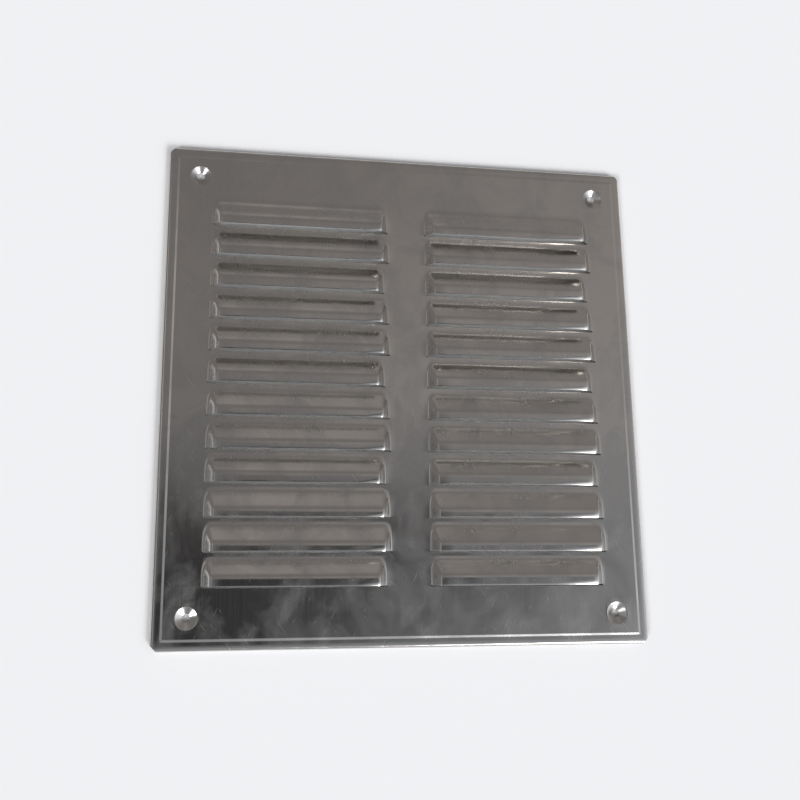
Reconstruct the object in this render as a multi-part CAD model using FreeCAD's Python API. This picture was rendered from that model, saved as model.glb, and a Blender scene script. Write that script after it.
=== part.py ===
import FreeCAD, Part
import math
import os

# Louvred air vent panel, pressed and folded from one sheet of bright metal.
# Frame: X across the panel, Y up it, Z out of its face. The hems rest on the plane z = 0
# and the origin is the middle of that plane.

os.makedirs("parts", exist_ok=True)

Vec = FreeCAD.Vector
UP = Vec(0, 0, 1)

# Driving dimensions, in millimetres
panel_width = 250.0
panel_height = 250.0
sheet_thickness = 0.5

# Folded edge: the sheet turns under in an open hem, and the field stands proud of the border
hem_bend_radius = 1.6
hem_width = 5.2
border_width = 4.6
field_rise = 0.4
field_slope_run = 0.8
corner_clip = 3.2
hem_mitre_gap = 0.5

# Louvres: each hood rises from the sheet at its back and ends, is level at its lip, and opens downwards
louvre_columns = 2
louvre_rows = 12
left_margin = 23.0
right_margin = 21.0
top_margin = 27.5
bottom_margin = 29.3
column_gap = 20.0
strip_between_hoods = 3.0
lance_width = 0.8
hood_height = 4.5
hood_level_depth = 2.9
hood_heel_radius = 5.0
hood_crown_radius = 5.0
cheek_slope = 55.0

# The press makes three rows at a stroke, and its three dies end a little apart at the right
die_right_ends = (0.0, 0.7, -2.2)

# Dished fixing holes, one in each corner
fixing_inset_x = 16.5
fixing_inset_y = 15.0
fixing_hole_radius = 2.0
dish_radius = 5.3
dish_depth = 2.0

# Values worked out from the driving dimensions
half_width = panel_width / 2
half_height = panel_height / 2
border_top = 2 * hem_bend_radius
border_under = border_top - sheet_thickness
field_top = border_top + field_rise
field_under = field_top - sheet_thickness
field_inset = border_width + field_slope_run
hood_top = field_top + hood_height

louvres_width = panel_width - left_margin - right_margin
louvre_length = (louvres_width - (louvre_columns - 1) * column_gap) / louvre_columns
louvre_pitch = (panel_height - top_margin - bottom_margin + strip_between_hoods) / louvre_rows
column_pitch = louvre_length + column_gap
first_louvre_x = -half_width + left_margin
hood_depth = louvre_pitch - strip_between_hoods
top_lip_y = half_height - top_margin - hood_depth

# The back slope: two bends joined by a straight, turned up by the angle that fits its run and height
hood_run = hood_depth - hood_level_depth
hood_bends = hood_heel_radius + hood_crown_radius
hood_straight = math.sqrt(hood_run ** 2 + hood_height ** 2 - 2 * hood_height * hood_bends)
hood_turn = math.atan2(hood_height - hood_bends, hood_run) + math.atan2(hood_bends, hood_straight)

# A cheek's bends are tighter than the back's, so that they are as high
cheek_turn = math.radians(cheek_slope)
cheek_tightness = (1 - math.cos(hood_turn)) / (1 - math.cos(cheek_turn))
cheek_heel_radius = hood_heel_radius * cheek_tightness
cheek_crown_radius = hood_crown_radius * cheek_tightness


def slope_run(turn, bends):
    """Plan run of a hood's slope that turns up by an angle and has two bends of the given radii together."""
    return bends * math.sin(turn) + (hood_height - bends * (1 - math.cos(turn))) / math.tan(turn)


def polygon_prism(points, z0, z1):
    """Upright prism over a plan outline."""
    corners = [Vec(x, y, z0) for x, y in points]
    return Part.Face(Part.makePolygon(corners + corners[:1])).extrude(Vec(0, 0, z1 - z0))


def edge_section():
    """Section of the folded edge. It stands in the YZ plane, outermost point at y = 0, field at +Y."""
    radius = hem_bend_radius

    def point(inset, z):
        return Vec(0, inset, z)

    edges = [
        Part.LineSegment(point(hem_width, 0), point(radius, 0)),
        Part.Arc(point(radius, 0), point(0, radius), point(radius, border_top)),
        Part.LineSegment(point(radius, border_top), point(border_width, border_top)),
        Part.LineSegment(point(border_width, border_top), point(field_inset, field_top)),
        Part.LineSegment(point(field_inset, field_top), point(field_inset, field_under)),
        Part.LineSegment(point(field_inset, field_under), point(border_width, border_under)),
        Part.LineSegment(point(border_width, border_under), point(radius, border_under)),
        Part.Arc(point(radius, border_under), point(sheet_thickness, radius), point(radius, sheet_thickness)),
        Part.LineSegment(point(radius, sheet_thickness), point(hem_width, sheet_thickness)),
        Part.LineSegment(point(hem_width, sheet_thickness), point(hem_width, 0)),
    ]
    return Part.Face(Part.Wire([edge.toShape() for edge in edges]))


def folded_side(length, distance, turn):
    """One folded side of the given length, mitred at both ends, set at its distance from the middle."""
    half = length / 2
    reach = max(hem_width, field_inset)
    run = edge_section().extrude(Vec(length, 0, 0))
    run.translate(Vec(-half, 0, 0))
    outline = [(-half, 0), (half, 0), (half - reach, reach), (-half + reach, reach)]
    side = run.common(polygon_prism(outline, 0, field_top))
    side.translate(Vec(0, -distance, 0))
    side.rotate(Vec(0, 0, 0), UP, turn)
    return side


def corner_cuts():
    """What is off at the corners: the clipped point of the panel, and the slit where two hems meet."""
    cuts = []
    slit_length = math.sqrt(2) * hem_width + hem_mitre_gap
    for sx in (-1, 1):
        for sy in (-1, 1):
            x = sx * half_width
            y = sy * half_height
            triangle = [(x, y), (x - sx * corner_clip, y), (x, y - sy * corner_clip)]
            cuts.append(polygon_prism(triangle, 0, field_top))
            slit = Part.makeBox(slit_length, hem_mitre_gap, hem_bend_radius, Vec(0, -hem_mitre_gap / 2, 0))
            slit.rotate(Vec(0, 0, 0), UP, math.degrees(math.atan2(-sy, -sx)))
            slit.translate(Vec(x, y, 0))
            cuts.append(slit)
    return cuts


def louvre_places():
    """Left end, right end and lip line of each louvre, row by row from the top of the panel."""
    for row in range(louvre_rows):
        lip_y = top_lip_y - row * louvre_pitch
        for column in range(louvre_columns):
            left = first_louvre_x + column * column_pitch
            yield left, left + louvre_length + die_right_ends[row % len(die_right_ends)], lip_y


def louvre_outline(left, right, lip_y):
    """Plan outline of a louvre's opening: the foot of its hood, and the lance cut along its lip."""
    front_y = lip_y - lance_width
    back_y = lip_y + hood_depth
    corners = [(left, front_y), (left, back_y), (right, back_y), (right, front_y), (left, front_y)]
    return Part.makePolygon([Vec(x, y, field_under) for x, y in corners])


def under_slope(turn, heel_radius, crown_radius, depth):
    """Upright face in the XZ plane under a slope that rises from x = 0, turns up by the given angle and is
    level again on top. It reaches to the sheet's face (depth 0) or to its underside, and down to z = 0."""
    run = slope_run(turn, heel_radius + crown_radius)
    low = heel_radius + depth
    high = crown_radius - depth

    def heel(turned):
        return Vec(low * math.sin(turned), 0, field_top + heel_radius - low * math.cos(turned))

    def crown(turned):
        return Vec(run - high * math.sin(turned), 0, hood_top - crown_radius + high * math.cos(turned))

    bends = [
        Part.Arc(heel(0), heel(turn / 2), heel(turn)).toShape(),
        Part.LineSegment(heel(turn), crown(turn)).toShape(),
        Part.Arc(crown(turn), crown(turn / 2), crown(0)).toShape(),
    ]
    square = [crown(0), Vec(panel_width, 0, hood_top - depth), Vec(panel_width, 0, 0), Vec(0, 0, 0), heel(0)]
    return Part.Face(Part.Wire(bends + Part.makePolygon(square).Edges))


def under_hood(length, front_y, depth):
    """Solid under a hood, as a press tool fills it, from front_y to the foot of its back. The hood's lip
    stands at y = 0, its left end at x = 0."""
    back = under_slope(hood_turn, hood_heel_radius, hood_crown_radius, depth)
    back.rotate(Vec(0, 0, 0), UP, -90)
    back.translate(Vec(0, hood_depth, 0))
    cheek = under_slope(cheek_turn, cheek_heel_radius, cheek_crown_radius, depth)
    cheek.translate(Vec(0, front_y, 0))
    from_left = cheek.extrude(Vec(0, hood_depth - front_y, 0))
    from_right = from_left.mirror(Vec(length / 2, 0, 0), Vec(1, 0, 0))
    under_back = back.extrude(Vec(length, 0, 0))
    return from_left.common(from_right).common(under_back)


def louvre_hood(length):
    """The sheet of one hood, open at its lip. The lip's left end stands at x = 0, y = 0."""
    return under_hood(length, 0, 0).cut(under_hood(length, -lance_width, sheet_thickness))


def fixing_places():
    """Middles of the four fixing holes."""
    for sx in (-1, 1):
        for sy in (-1, 1):
            yield sx * (half_width - fixing_inset_x), sy * (half_height - fixing_inset_y)


def fixing_outline(x, y):
    """Round hole in the flat sheet that the dish fills."""
    return Part.Wire(Part.makeCircle(dish_radius, Vec(x, y, field_under), UP))


def fixing_dish(x, y):
    """Dished seat pressed down into the face, with the screw hole at its bottom."""
    corners = [
        Vec(dish_radius, 0, field_top),
        Vec(fixing_hole_radius, 0, field_top - dish_depth),
        Vec(fixing_hole_radius, 0, field_under - dish_depth),
        Vec(dish_radius, 0, field_under),
    ]
    dish = Part.Face(Part.makePolygon(corners + corners[:1])).revolve(Vec(0, 0, 0), UP, 360)
    dish.translate(Vec(x, y, 0))
    return dish


def field_sheet():
    """The flat of the panel, with openings where the louvres and the dishes come."""
    half_x = half_width - field_inset
    half_y = half_height - field_inset
    corners = [(-half_x, -half_y), (half_x, -half_y), (half_x, half_y), (-half_x, half_y), (-half_x, -half_y)]
    wires = [Part.makePolygon([Vec(x, y, field_under) for x, y in corners])]
    wires += [louvre_outline(*place) for place in louvre_places()]
    wires += [fixing_outline(*place) for place in fixing_places()]
    return Part.Face(wires, "Part::FaceMakerBullseye").extrude(Vec(0, 0, sheet_thickness))


def vent_panel():
    """The whole pressed panel, made as one solid."""
    formed = [
        folded_side(panel_width, half_height, 0),
        folded_side(panel_height, half_width, 90),
        folded_side(panel_width, half_height, 180),
        folded_side(panel_height, half_width, 270),
    ]
    hoods = [louvre_hood(louvre_length + right_end) for right_end in die_right_ends]
    for number, (left, right, lip_y) in enumerate(louvre_places()):
        hood = hoods[number // louvre_columns % len(hoods)].copy()
        hood.translate(Vec(left, lip_y, 0))
        formed.append(hood)
    formed += [fixing_dish(*place) for place in fixing_places()]
    return field_sheet().fuse(formed).cut(corner_cuts()).removeSplitter()


panel = vent_panel()
box = panel.BoundBox
print("solids", len(panel.Solids), "valid", panel.isValid(), "volume", round(panel.Volume, 1))
print("box", round(box.XLength, 3), round(box.YLength, 3), round(box.ZLength, 3))
print("pitch", round(louvre_pitch, 2), "back slope in degrees", round(math.degrees(hood_turn), 1))
print("run of a cheek", round(slope_run(cheek_turn, cheek_heel_radius + cheek_crown_radius), 2))
panel.Solids[0].exportStep("parts/louvre_panel.step")
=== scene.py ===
import math

import bmesh
import bpy
from mathutils import Matrix, Vector, noise


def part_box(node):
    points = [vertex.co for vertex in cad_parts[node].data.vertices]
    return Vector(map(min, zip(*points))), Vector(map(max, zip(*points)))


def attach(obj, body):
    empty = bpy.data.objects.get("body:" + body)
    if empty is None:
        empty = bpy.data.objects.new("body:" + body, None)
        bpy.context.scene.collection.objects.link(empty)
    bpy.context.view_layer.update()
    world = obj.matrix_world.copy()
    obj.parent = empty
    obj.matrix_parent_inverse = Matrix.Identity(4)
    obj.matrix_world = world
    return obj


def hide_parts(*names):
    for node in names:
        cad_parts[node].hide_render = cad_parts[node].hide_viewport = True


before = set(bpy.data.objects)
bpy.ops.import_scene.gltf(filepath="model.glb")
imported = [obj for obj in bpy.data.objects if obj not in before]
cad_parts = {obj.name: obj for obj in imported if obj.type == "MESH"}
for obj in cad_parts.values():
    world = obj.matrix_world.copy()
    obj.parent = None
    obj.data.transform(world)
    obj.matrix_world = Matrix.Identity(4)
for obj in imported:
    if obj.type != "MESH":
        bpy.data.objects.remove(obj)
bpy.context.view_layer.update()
low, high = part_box("louvre_panel")

# Louvred vent panel, pressed from one bright steel sheet. Its mesh is worked out in millimetres
# and brought to metres at the end. X is across the panel, Y up it and Z out of its face.
MM = 0.001

panel_width = (high.x - low.x) / MM
panel_height = (high.y - low.y) / MM
panel_top = high.z / MM
sheet_thickness = 0.5

# Folded edge
hem_bend_radius = 1.6
hem_width = 5.2
border_width = 4.6
field_rise = 0.4
field_slope_run = 0.8
corner_clip = 3.2
hem_mitre_gap = 0.5

# Louvres
louvre_rows = 12
left_margin = 23.0
right_margin = 21.0
top_margin = 27.5
bottom_margin = 29.3
column_gap = 20.0
strip_between_hoods = 3.0
lance_width = 0.8
hood_level_depth = 2.9
hood_heel_radius = 5.0
hood_crown_radius = 5.0
cheek_run = 4.8

# A hood's back corners are round in plan: 2 would make them elliptical, and more makes them squarer.
# Its height is averaged over five points that are the softness apart, which eases its bends
corner_squareness = 3.0
bend_softness = 0.45

# The press makes three rows at a stroke. Its dies end a little apart at the right, and their hoods stay
# level so much further back, which makes the back slope of the third the steepest
die_right_ends = (0.0, 0.7, -2.2)
die_setbacks = (0.0, 0.2, 1.1)

# The lip's edge is turned down a little, and more and more towards its right end. The turned-down edge is
# so deep and slopes so much, and the change takes so long a run in each column
lip_depths = (0.6, 2.6)
lip_tilts = (0.22, 0.55)
lip_runs = (9.0, 22.0)

# Dished fixing holes. Each dish is joined to the flat sheet inside a square patch
fixing_inset_x = 16.5
fixing_inset_y = 15.0
fixing_hole_radius = 2.0
dish_radius = 5.3
dish_depth = 2.0
dish_rim_radius = 1.2
dish_patch = 6.0

# Waves that the press leaves in the flat sheet, long ones and a share of shorter ones. They fade out
# towards the stiff folded edge
wave_depth = 0.16
wave_length = 46.0
short_wave_share = 0.4
short_waves_to_a_long_one = 2.3
wave_slices = (7.0, 31.0)
wave_fade = 12.0

# How many mesh lines each stretch of the sheet gets, and how close one lies to a crease to keep it crisp
crease_line = 0.3
rim_lines = 2
dish_lines = 8
strip_lines = 3
gap_lines = 6
cheek_lines = 12
hood_lines = 9
lip_edge_lines = 2
lip_turn_lines = 4
slope_lines = 13
nose_steps = 10
dish_rim_steps = 5
dish_steps = 40
smooth_below = math.radians(40)

# How far apart two places may be and still count as one, and how far past a line counts as beyond it
same_place = 0.001
just_past = 0.01

# Sun lamps: name, way from the part to the lamp, strength, and how many degrees wide its disc is
lamps = (
    ("window", (0.5, -0.68, 0.53), 1.7, 26),
    ("left", (-0.62, -0.55, 0.56), 1.6, 24),
)

# Surroundings: an even glow, and patches of it with the way to their middle, the cosines at which they
# begin and are full, and their strength
plain_glow = 0.22
window_side = (0.74, -0.48, 0.47)
glows = (
    (window_side, 0.3, 0.8, 0.165),
    (window_side, 0.78, 1.0, 0.9),
    ((-0.45, 0.1, 0.88), 0.965, 0.99, 0.3),
    ((-0.05, 0.9, 0.44), 0.92, 0.99, 0.09),
    ((0.35, 0.83, 0.44), 0.9, 0.98, 0.05),
    ((-0.1, 0.99, 0.08), 0.92, 0.96, -0.07),
    ((0.23, 0.12, 0.97), 0.985, 0.997, 0.03),
)

# Dark patches on the ceiling: middle, turn in degrees, reach both ways, softness, share of light left
dark_patches = (
    ((0.03, -0.085), 8, (0.22, 0.15), 0.4, 0.0),
    ((0.20, -0.035), 2, (0.36, 0.07), 0.4, 0.0),
    ((0.25, -0.12), 0, (0.60, 0.11), 0.6, 0.75),
)

# The photograph's camera: the side of the square picture, the focal length and the pixel that the
# camera's axis meets, all in pixels, then its place in millimetres, where it looks and what is up
photo_side = 800
photo_focal_length = 1000
photo_middle = (327.1, 280.7)
camera_place = (-129.1, -63.8, 502.5)
camera_look = (0.16807, 0.23121, -0.95828)
camera_up = (-0.04343, 0.9729, 0.22712)

half_width = panel_width / 2
half_height = panel_height / 2
border_top = 2 * hem_bend_radius
field_top = border_top + field_rise
field_inset = border_width + field_slope_run
hood_height = panel_top - field_top
louvre_length = (panel_width - left_margin - right_margin - column_gap) / 2
louvre_pitch = (panel_height - top_margin - bottom_margin + strip_between_hoods) / louvre_rows
hood_depth = louvre_pitch - strip_between_hoods
hood_run = hood_depth - hood_level_depth
hood_bends = hood_heel_radius + hood_crown_radius
hood_straight = math.sqrt(hood_run ** 2 + hood_height ** 2 - 2 * hood_height * hood_bends)
hood_slope = math.atan2(hood_height - hood_bends, hood_run) + math.atan2(hood_bends, hood_straight)
top_foot_y = half_height - top_margin
left_feet = (-half_width + left_margin, half_width - right_margin - louvre_length)


def within(value, least, most):
    """A value, held between the least and the most."""
    return min(max(value, least), most)


def stations(start, end, count):
    """Evenly spaced stations from start up to, but not including, end."""
    return [start + (end - start) * step / count for step in range(count)]


def across_stations():
    """Where the sheet's mesh lines cross the panel, close together at the louvres' ends."""
    edge = half_width - field_inset
    patch_in = half_width - fixing_inset_x - dish_patch
    patch_out = half_width - fixing_inset_x + dish_patch
    found = stations(-edge + crease_line, -patch_out, rim_lines)
    found += stations(-patch_out, left_feet[0], dish_lines)
    for foot, lip_run in zip(left_feet, lip_runs):
        far_foot = foot + louvre_length
        inner = foot + cheek_run
        far_inner = far_foot - cheek_run
        found += stations(foot, inner, cheek_lines)
        found += stations(inner, far_inner - lip_run, hood_lines)
        found += stations(far_inner - lip_run, far_inner, hood_lines)
        found += stations(far_inner, far_foot, cheek_lines)
    found += stations(left_feet[0] + louvre_length, left_feet[1], gap_lines)
    found += stations(left_feet[1] + louvre_length, patch_out, dish_lines)
    found += stations(patch_out, edge - crease_line, rim_lines)
    return sorted(found + [-edge, -patch_in, patch_in, edge - crease_line, edge])


def up_stations():
    """Where the mesh lines cross going up the panel: close together at each lip and over each hood."""
    edge = half_height - field_inset
    patch_in = half_height - fixing_inset_y - dish_patch
    patch_out = half_height - fixing_inset_y + dish_patch
    found = [-edge] + stations(-edge + crease_line, -patch_out, rim_lines)
    found += stations(-patch_out, -patch_in, dish_lines)
    for row in reversed(range(louvre_rows)):
        lip = lip_at(row)
        below = -patch_in if row == louvre_rows - 1 else lip - strip_between_hoods
        found += stations(below, lip - lance_width, strip_lines) + [lip - lance_width]
        found += stations(lip, lip + lip_depths[0], lip_edge_lines)
        found += stations(lip + lip_depths[0], lip + lip_depths[1], lip_turn_lines)
        found += stations(lip + lip_depths[1], lip + hood_depth, slope_lines)
    found += stations(top_foot_y, patch_in, strip_lines) + stations(patch_in, patch_out, dish_lines)
    return found + stations(patch_out, edge - crease_line, rim_lines) + [edge - crease_line, edge]


def row_at(y):
    """Which row of louvres, counted from the top, a height on the panel belongs to."""
    return within(math.floor((top_foot_y - y) / louvre_pitch), 0, louvre_rows - 1)


def lip_at(row):
    """The line of a row's lips, going up the panel."""
    return top_foot_y - hood_depth - row * louvre_pitch


def hood_rise(inward):
    """Height of a hood's sheet at a distance inward from its foot: a bend, a straight and a bend."""
    from_top = hood_run - inward
    heel_end = hood_heel_radius * math.sin(hood_slope)
    crown_start = hood_crown_radius * math.sin(hood_slope)
    if inward <= 0:
        return 0.0
    if inward < heel_end:
        return hood_heel_radius - math.sqrt(hood_heel_radius ** 2 - inward ** 2)
    if from_top < crown_start:
        past_top = max(from_top, 0)
        return hood_height - hood_crown_radius + math.sqrt(hood_crown_radius ** 2 - past_top ** 2)
    heel_rise = hood_heel_radius * (1 - math.cos(hood_slope))
    return heel_rise + (inward - heel_end) * math.tan(hood_slope)


def soft_rise(inward):
    """The hood's height with its bends eased into one another, as the sheet springs back."""
    return sum(hood_rise(inward + step * bend_softness) for step in (-2, -1, 0, 1, 2)) / 5


def press_hood(x, y, left, right, lip, lip_run, setback):
    """Height of the pressed sheet at a point of one louvre. A setback makes its back slope steeper."""
    if y < lip - lance_width / 2:
        return 0.0
    level_y = lip + hood_level_depth + setback
    core_x = within(x, left + cheek_run, right - cheek_run)
    aside = abs(x - core_x) / cheek_run
    behind = max(y - level_y, 0) / (hood_run - setback)
    away = (aside ** corner_squareness + behind ** corner_squareness) ** (1 / corner_squareness)
    rise = soft_rise(hood_run * (1 - away))
    turned = within(1 - (right - x) / (cheek_run + lip_run), 0, 1)
    depth = lip_depths[0] + (lip_depths[1] - lip_depths[0]) * turned
    tilt = lip_tilts[0] + (lip_tilts[1] - lip_tilts[0]) * turned
    drop = tilt * max(lip + depth - y, 0) ** 2 / (2 * depth)
    return rise - drop * rise / hood_height


def sheet_wave(x, y):
    """Shallow dip of the sheet at a point."""
    from_edge = min(half_width - field_inset - abs(x), half_height - field_inset - abs(y))
    fade = within(from_edge / wave_fade, 0, 1)
    long_wave, short_wave = (Vector((x, y, height)) / wave_length for height in wave_slices)
    value = noise.noise(long_wave) + short_wave_share * noise.noise(short_wave * short_waves_to_a_long_one)
    return -wave_depth * fade * (0.5 + 0.5 * value)


def press_field(bm):
    """The face of the sheet inside its border, with the louvres lanced and drawn."""
    xs = across_stations()
    ys = up_stations()
    nx = len(xs) - 1
    ny = len(ys) - 1
    bmesh.ops.create_grid(bm, x_segments=nx, y_segments=ny, size=1)
    for vert in bm.verts:
        x = xs[round((vert.co.x + 1) / 2 * nx)]
        y = ys[round((vert.co.y + 1) / 2 * ny)]
        vert.co = (x, y, field_top)

    slots = []
    for face in bm.faces:
        centre = face.calc_center_median()
        lip = lip_at(row_at(centre.y))
        in_lance = lip - lance_width < centre.y < lip
        if in_lance and any(foot < centre.x < foot + louvre_length for foot in left_feet):
            slots.append(face)
    bmesh.ops.delete(bm, geom=slots, context="FACES_ONLY")

    for vert in bm.verts:
        x, y, z = vert.co
        row = row_at(y - just_past)
        lip = lip_at(row)
        die = row % len(die_right_ends)
        longer = die_right_ends[die]
        wave = sheet_wave(x, y)
        if lip - strip_between_hoods < y < top_foot_y:
            for foot, lip_run in zip(left_feet, lip_runs):
                right = foot + louvre_length
                inner_left = foot + cheek_run
                inner_right = right - cheek_run
                if foot <= x < right + column_gap / 2:
                    stretch = within((x - inner_left) / (inner_right - inner_left), 0, 1)
                    if x > right:
                        stretch = max(1 - (x - right) / (column_gap / 2), 0)
                    x += longer * stretch
                    z += press_hood(x, y, foot, right + longer, lip, lip_run, die_setbacks[die])
                    break
        vert.co = (x, y, z + wave)


def edge_profile():
    """Section of the folded edge from the field outwards, as inset from the panel's edge and height."""
    mid_border = (border_width + hem_bend_radius) / 2
    mid_hem = (hem_width + hem_bend_radius) / 2
    insets = (border_width, border_width - crease_line, mid_border, hem_bend_radius)
    points = [(inset, border_top) for inset in insets]
    for step in range(1, nose_steps + 1):
        turned = math.pi * step / nose_steps
        points.append((hem_bend_radius * (1 - math.sin(turned)), hem_bend_radius * (1 + math.cos(turned))))
    return points + [(mid_hem, 0.0), (hem_width, 0.0)]


def fold_edge(bm):
    """Runs the folded edge out from the rim of the field, round its nose and back underneath."""
    inner_x = half_width - field_inset
    inner_y = half_height - field_inset

    def on_rim(vert):
        return abs(abs(vert.co.x) - inner_x) < same_place or abs(abs(vert.co.y) - inner_y) < same_place

    loop = [edge for edge in bm.edges if edge.is_boundary and all(on_rim(vert) for vert in edge.verts)]
    inset = field_inset
    for next_inset, height in edge_profile():
        made = bmesh.ops.extrude_edge_only(bm, edges=loop)["geom"]
        for vert in (item for item in made if isinstance(item, bmesh.types.BMVert)):
            x, y = vert.co.x, vert.co.y
            if abs(abs(x) - (half_width - inset)) < same_place:
                x = math.copysign(half_width - next_inset, x)
            if abs(abs(y) - (half_height - inset)) < same_place:
                y = math.copysign(half_height - next_inset, y)
            vert.co = (x, y, height)
        loop = [item for item in made if isinstance(item, bmesh.types.BMEdge)]
        inset = next_inset


def cut_through(bm, faces, place, away, clear=False):
    """Cuts faces along a plane, and takes off what lies beyond it where it is to be cleared."""
    geom = faces + list({edge for face in faces for edge in face.edges})
    geom += list({vert for face in faces for vert in face.verts})
    bmesh.ops.bisect_plane(bm, geom=geom, plane_co=place, plane_no=away, clear_outer=clear)


def clip_corners(bm):
    """Cuts the points of the panel off at 45 degrees and opens the slit where two hems meet."""
    corner_reach = 12.0

    def near(corner):
        return [face for face in bm.faces if (face.calc_center_median() - corner).xy.length < corner_reach]

    def hems(corner):
        return [face for face in near(corner) if face.calc_center_median().z < hem_bend_radius]

    for sx in (-1, 1):
        for sy in (-1, 1):
            corner = Vector((sx * half_width, sy * half_height, 0))
            outward = Vector((sx, sy, 0)).normalized()
            across = Vector((-sy, sx, 0)).normalized()
            cut_through(bm, near(corner), corner - outward * corner_clip / math.sqrt(2), outward, clear=True)
            for side in (-1, 1):
                cut_through(bm, hems(corner), corner + across * side * hem_mitre_gap / 2, across * side)
            slit = [face for face in hems(corner)
                    if abs((face.calc_center_median() - corner).dot(across)) < hem_mitre_gap / 2]
            bmesh.ops.delete(bm, geom=slit, context="FACES")


def dish_profile():
    """Section of a dish from the flat sheet down to the hole's edge, as radius and height."""
    wall_run = dish_radius - fixing_hole_radius
    wall = math.atan2(dish_depth, wall_run)
    bend_start = dish_radius + dish_rim_radius * math.tan(wall / 2)
    points = []
    for step in range(dish_rim_steps + 1):
        turned = wall * step / dish_rim_steps
        points.append((bend_start - dish_rim_radius * math.sin(turned),
                       field_top - dish_rim_radius * (1 - math.cos(turned))))
    middle = (dish_radius + fixing_hole_radius) / 2
    points.append((middle, field_top - dish_depth * (dish_radius - middle) / wall_run))
    return points + [(fixing_hole_radius, field_top - dish_depth)]


def press_dish(bm, x, y):
    """Presses one dished hole into the field and joins it to the flat sheet around it."""

    def off_middle(place):
        return max(abs(place.x - x), abs(place.y - y))

    patch = [face for face in bm.faces if off_middle(face.calc_center_median()) < dish_patch
             and face.calc_center_median().z > border_top]
    bmesh.ops.delete(bm, geom=patch, context="FACES")
    square = [edge for edge in bm.edges if edge.is_boundary
              and all(off_middle(vert.co) < dish_patch + just_past for vert in edge.verts)]

    section = dish_profile()
    profile = [bm.verts.new((x + radius, y, height)) for radius, height in section]
    geom = profile + [bm.edges.new(pair) for pair in zip(profile, profile[1:])]
    bmesh.ops.spin(bm, geom=geom, cent=(x, y, 0), axis=(0, 0, 1), angle=math.tau, steps=dish_steps,
                   use_merge=True, use_duplicate=False)
    rim_radius = section[0][0]

    def on_rim(vert):
        return abs(math.hypot(vert.co.x - x, vert.co.y - y) - rim_radius) < same_place

    circle = [edge for edge in bm.edges if edge.is_boundary and all(on_rim(vert) for vert in edge.verts)]
    bmesh.ops.bridge_loops(bm, edges=square + circle)


def vent_panel():
    """The whole panel as one closed sheet."""
    bm = bmesh.new()
    press_field(bm)
    fold_edge(bm)
    for sx in (-1, 1):
        for sy in (-1, 1):
            press_dish(bm, sx * (half_width - fixing_inset_x), sy * (half_height - fixing_inset_y))
    bmesh.ops.remove_doubles(bm, verts=bm.verts, dist=same_place)
    clip_corners(bm)
    bmesh.ops.recalc_face_normals(bm, faces=bm.faces)
    if sum(face.normal.z * face.calc_area() for face in bm.faces) < 0:
        bmesh.ops.reverse_faces(bm, faces=bm.faces)
    bmesh.ops.solidify(bm, geom=bm.faces, thickness=sheet_thickness)
    bmesh.ops.scale(bm, vec=(MM, MM, MM), verts=bm.verts)
    mesh = bpy.data.meshes.new("louvred_sheet")
    bm.to_mesh(mesh)
    bm.free()
    mesh.shade_smooth()
    mesh.set_sharp_from_angle(angle=smooth_below)
    panel = bpy.data.objects.new("louvred_sheet", mesh)
    bpy.context.scene.collection.objects.link(panel)
    return panel


def linear(code):
    """Linear colour of an sRGB hex value."""
    parts = [int(code[place:place + 2], 16) / 255 for place in (0, 2, 4)]
    bright = [part / 12.92 if part <= 0.04045 else ((part + 0.055) / 1.055) ** 2.4 for part in parts]
    return (*bright, 1.0)


def add(tree, kind, settings=None, links=None):
    """Adds a node of a kind, with its settings and with what feeds its sockets."""
    node = tree.nodes.new(kind)
    for name, value in (settings or {}).items():
        if isinstance(name, str) and hasattr(node, name):
            setattr(node, name, value)
        else:
            node.inputs[name].default_value = value
    for name, source in (links or {}).items():
        tree.links.new(source, node.inputs[name])
    return node


def per_mm(x, y, z):
    """Scale for a pattern on object coordinates whose features are so many millimetres across."""
    return (1 / (x * MM), 1 / (y * MM), 1 / (z * MM))


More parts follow.
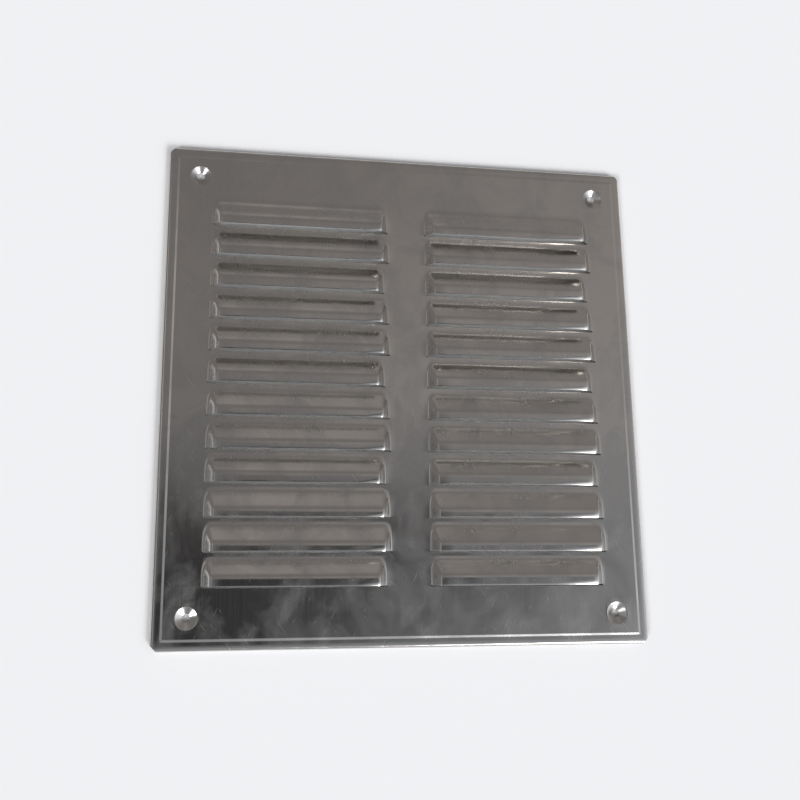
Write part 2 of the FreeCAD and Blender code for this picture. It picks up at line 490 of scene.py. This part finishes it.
def bright_rolled_steel():
    """Stainless steel sheet, cold rolled between polished rolls and skin passed. It is a soft mirror,
    hazed by the finest roll lines, and handling has left smudges and hairline scratches on it."""
    material = bpy.data.materials.new("bright_rolled_steel")
    material.use_nodes = True
    tree = material.node_tree
    shader = tree.nodes["Principled BSDF"]
    shader.inputs["Metallic"].default_value = 1.0
    place = add(tree, "ShaderNodeTexCoord").outputs["Object"]

    # Roll lines run up the sheet. Real ones are 0.05 mm wide, and they are drawn at 0.5 mm to show
    lines_place = add(tree, "ShaderNodeMapping", {"Scale": per_mm(0.5, 40, 40)}, {"Vector": place})
    lines = add(tree, "ShaderNodeTexNoise", {"Scale": 1.0, "Detail": 2.0},
                {"Vector": lines_place.outputs[0]})

    # Smudges of a hand and a cloth, 22 to 30 mm across and broken up into finer ones
    smudge_place = add(tree, "ShaderNodeMapping", {"Scale": per_mm(22, 30, 22)}, {"Vector": place})
    smudge = add(tree, "ShaderNodeTexNoise",
                 {"Scale": 1.0, "Detail": 5.0, "Roughness": 0.62, "Distortion": 0.6},
                 {"Vector": smudge_place.outputs[0]})
    smeared = add(tree, "ShaderNodeMapRange", {"From Min": 0.42, "From Max": 0.68},
                  {"Value": smudge.outputs[0]})

    # Hairline scratches, two ways across each other. Real ones are finer, and they are drawn 0.4 mm wide
    # and 11 mm long to show
    scratches = []
    for turn in (24, -38):
        turned = add(tree, "ShaderNodeMapping", {"Rotation": (0, 0, math.radians(turn))},
                     {"Vector": place})
        stretched = add(tree, "ShaderNodeMapping", {"Scale": per_mm(0.4, 11, 11)},
                        {"Vector": turned.outputs[0]})
        streaks = add(tree, "ShaderNodeTexNoise", {"Scale": 1.0, "Detail": 1.0},
                      {"Vector": stretched.outputs[0]})
        scratches.append(add(tree, "ShaderNodeMapRange", {"From Min": 0.75, "From Max": 0.84},
                             {"Value": streaks.outputs[0]}).outputs[0])
    scratched = add(tree, "ShaderNodeMath", {"operation": "MAXIMUM"}, {0: scratches[0], 1: scratches[1]})

    # Smudged steel is a little greyer than clean steel
    tint = add(tree, "ShaderNodeMix", {"data_type": "RGBA", 6: linear("CFCBC5"), 7: linear("BDBAB6")},
               {0: smeared.outputs[0]})
    tree.links.new(tint.outputs[2], shader.inputs["Base Color"])

    # The roll lines haze the mirror a little, and smudges and scratches haze it more
    haze = add(tree, "ShaderNodeMapRange", {"To Min": 0.15, "To Max": 0.20}, {"Value": lines.outputs[0]})
    smeared_haze = add(tree, "ShaderNodeMath", {"operation": "MULTIPLY_ADD", 1: 0.13},
                       {0: smeared.outputs[0], 2: haze.outputs[0]})
    rough = add(tree, "ShaderNodeMath", {"operation": "MULTIPLY_ADD", 1: 0.16},
                {0: scratched.outputs[0], 2: smeared_haze.outputs[0]})
    tree.links.new(rough.outputs[0], shader.inputs["Roughness"])

    # The sheet is not quite even between its louvres: shallow ripples 9 mm apart, 0.03 mm deep.
    # The roll lines are 0.002 mm deep and the scratches 0.008 mm
    ripple_place = add(tree, "ShaderNodeMapping", {"Scale": per_mm(9, 9, 9)}, {"Vector": place})
    ripple = add(tree, "ShaderNodeTexNoise", {"Scale": 1.0, "Detail": 2.0},
                 {"Vector": ripple_place.outputs[0]})
    rippled = add(tree, "ShaderNodeBump", {"Strength": 1.0, "Distance": 0.03 * MM},
                  {"Height": ripple.outputs[0]})
    rolled = add(tree, "ShaderNodeBump", {"Strength": 1.0, "Distance": 0.002 * MM},
                 {"Height": lines.outputs[0], "Normal": rippled.outputs[0]})
    cut = add(tree, "ShaderNodeBump", {"Strength": 1.0, "Distance": 0.008 * MM, "invert": True},
              {"Height": scratched.outputs[0], "Normal": rolled.outputs[0]})
    tree.links.new(cut.outputs[0], shader.inputs["Normal"])
    return material


def paint(piece, material):
    piece.data.materials.clear()
    piece.data.materials.append(material)


def matt_white_paper():
    """Studio paper: pale, matt and even, so the panel's shadow falls on it softly."""
    material = bpy.data.materials.new("matt_white_paper")
    material.use_nodes = True
    shader = material.node_tree.nodes["Principled BSDF"]
    shader.inputs["Base Color"].default_value = linear("FAFAFA")
    shader.inputs["Roughness"].default_value = 1.0
    shader.inputs["Specular IOR Level"].default_value = 0.0
    return material


def floor():
    """The floor under the panel, 8 metres across."""
    bm = bmesh.new()
    bmesh.ops.create_grid(bm, x_segments=1, y_segments=1, size=4)
    mesh = bpy.data.meshes.new("floor")
    bm.to_mesh(mesh)
    bm.free()
    ground = bpy.data.objects.new("floor", mesh)
    bpy.context.scene.collection.objects.link(ground)
    paint(ground, matt_white_paper())


def lamp(name, towards, strength, spread):
    """A sun lamp with a wide disc."""
    data = bpy.data.lights.new(name, "SUN")
    data.energy = strength
    data.angle = math.radians(spread)
    light = bpy.data.objects.new(name, data)
    light.rotation_euler = Vector(towards).to_track_quat("Z", "Y").to_euler()
    bpy.context.scene.collection.objects.link(light)


def studio_world():
    """Soft grey surroundings with paler and darker patches, which the bright sheet mirrors."""
    world = bpy.data.worlds.new("studio")
    bpy.context.scene.world = world
    world.use_nodes = True
    tree = world.node_tree
    towards = add(tree, "ShaderNodeTexCoord").outputs["Generated"]
    part = add(tree, "ShaderNodeSeparateXYZ", links={0: towards})

    light = add(tree, "ShaderNodeValue").outputs[0]
    light.default_value = plain_glow
    for middle, begins, full, strength in glows:
        facing = add(tree, "ShaderNodeVectorMath",
                     {"operation": "DOT_PRODUCT", 1: Vector(middle).normalized()}, {0: towards})
        glow = add(tree, "ShaderNodeMapRange",
                   {"interpolation_type": "SMOOTHSTEP", "From Min": begins, "From Max": full,
                    "To Max": strength}, {"Value": facing.outputs["Value"]})
        light = add(tree, "ShaderNodeMath", {"operation": "ADD"}, {0: light, 1: glow.outputs[0]}).outputs[0]

    # The patches are laid out on a flat ceiling: how far across and up it for each unit of height
    across = add(tree, "ShaderNodeMath", {"operation": "DIVIDE"},
                 {0: part.outputs["X"], 1: part.outputs["Z"]})
    up = add(tree, "ShaderNodeMath", {"operation": "DIVIDE"},
             {0: part.outputs["Y"], 1: part.outputs["Z"]})
    ceiling = add(tree, "ShaderNodeCombineXYZ", links={0: across.outputs[0], 1: up.outputs[0]})
    for middle, turn, reach, soft, left_over in dark_patches:
        patch = add(tree, "ShaderNodeMapping",
                    {"vector_type": "TEXTURE", "Location": (*middle, 0),
                     "Rotation": (0, 0, math.radians(turn)), "Scale": (*reach, 1)},
                    {"Vector": ceiling.outputs[0]})
        dark = add(tree, "ShaderNodeTexGradient", {"gradient_type": "SPHERICAL"},
                   {"Vector": patch.outputs[0]})
        shade = add(tree, "ShaderNodeMapRange",
                    {"interpolation_type": "SMOOTHSTEP", "From Max": soft, "To Min": 1.0,
                     "To Max": left_over}, {"Value": dark.outputs["Fac"]})
        light = add(tree, "ShaderNodeMath", {"operation": "MULTIPLY"},
                    {0: light, 1: shade.outputs[0]}).outputs[0]

    # What comes from beyond the panel's top edge is a little warmer than what comes from below it
    warmth = add(tree, "ShaderNodeMapRange", {"From Min": -0.02, "From Max": 0.15},
                 {"Value": part.outputs["Y"]})
    tint = add(tree, "ShaderNodeMix", {"data_type": "RGBA", 6: linear("EFF5FF"), 7: linear("FFFAFA")},
               {0: warmth.outputs[0]})
    shown = tree.nodes["Background"]
    tree.links.new(tint.outputs[2], shown.inputs["Color"])
    tree.links.new(light, shown.inputs["Strength"])


def camera():
    """The camera of the photograph, fitted to the panel's corners, holes and lips."""
    look = Vector(camera_look)
    right = look.cross(Vector(camera_up)).normalized()
    up = right.cross(look).normalized()
    data = bpy.data.cameras.new("camera")
    data.sensor_width = 36.0
    data.lens = data.sensor_width * photo_focal_length / photo_side
    data.shift_x = (photo_side / 2 - photo_middle[0]) / photo_side
    data.shift_y = (photo_middle[1] - photo_side / 2) / photo_side
    data.clip_start = 0.01
    seen = bpy.data.objects.new("camera", data)
    turn = Matrix((right, up, -look.normalized())).transposed()
    seen.matrix_world = Matrix.Translation(Vector(camera_place) * MM) @ turn.to_4x4()
    bpy.context.scene.collection.objects.link(seen)
    bpy.context.scene.camera = seen


panel = vent_panel()
paint(panel, bright_rolled_steel())
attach(panel, "root")
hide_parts("louvre_panel")

floor()
studio_world()
for name, towards, strength, spread in lamps:
    lamp(name, towards, strength, spread)
camera()
bpy.context.scene.view_settings.view_transform = "Standard"

print("triangles", sum(len(face.vertices) - 2 for face in panel.data.polygons))
